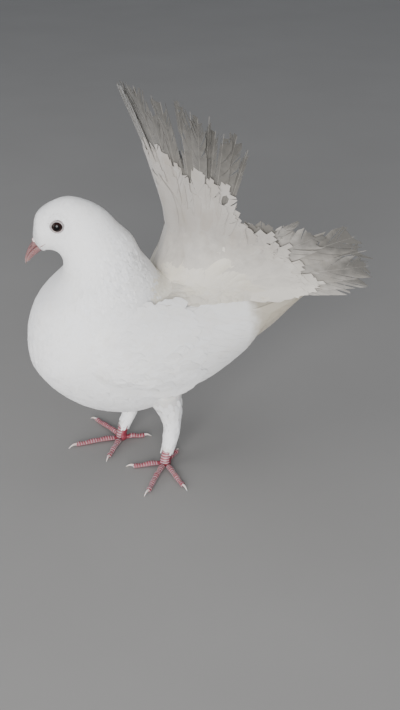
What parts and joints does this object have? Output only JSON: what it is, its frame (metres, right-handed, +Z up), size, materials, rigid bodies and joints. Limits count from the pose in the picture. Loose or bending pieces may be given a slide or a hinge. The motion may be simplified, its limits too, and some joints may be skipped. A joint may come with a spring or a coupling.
{
  "type": "fantail pigeon model",
  "caption": "Life-size white fantail pigeon standing still, its head turned to its right and its worn tail fan raised and folded back.",
  "frame": {"origin": "middle of the outer box, at the level of the soles", "axes": "+Z up; the bird's body faces -Y and its left side is +X"},
  "size_m": [0.2344, 0.2282, 0.2992],
  "materials": {
    "plumage": "soft white feathers",
    "tail_plumage": "worn grey-white flight feathers",
    "horn": "pale pink horn",
    "eye": "wet and dark",
    "scutes": "red scaled skin",
    "claw": "pale horn"
  },
  "bodies": {
    "root": {"bill_lower": "horn", "bill_upper": "horn", "claw_left_back": "claw", "claw_left_inner": "claw", "claw_left_middle": "claw", "claw_left_outer": "claw", "claw_right_back": "claw", "claw_right_inner": "claw", "claw_right_middle": "claw", "claw_right_outer": "claw", "eye_left": "eye", "eye_right": "eye", "foot_left": "scutes", "foot_right": "scutes", "head": "plumage", "neck": "plumage", "shank_left": "plumage", "shank_right": "plumage", "tail_left": "tail_plumage", "tail_right": "tail_plumage", "thigh_left": "plumage", "thigh_right": "plumage", "toe_left_back": "scutes", "toe_left_inner": "scutes", "toe_left_middle": "scutes", "toe_left_outer": "scutes", "toe_right_back": "scutes", "toe_right_inner": "scutes", "toe_right_middle": "scutes", "toe_right_outer": "scutes", "torso": "plumage", "wing_left": "plumage", "wing_right": "plumage"}
  },
  "joints": []
}
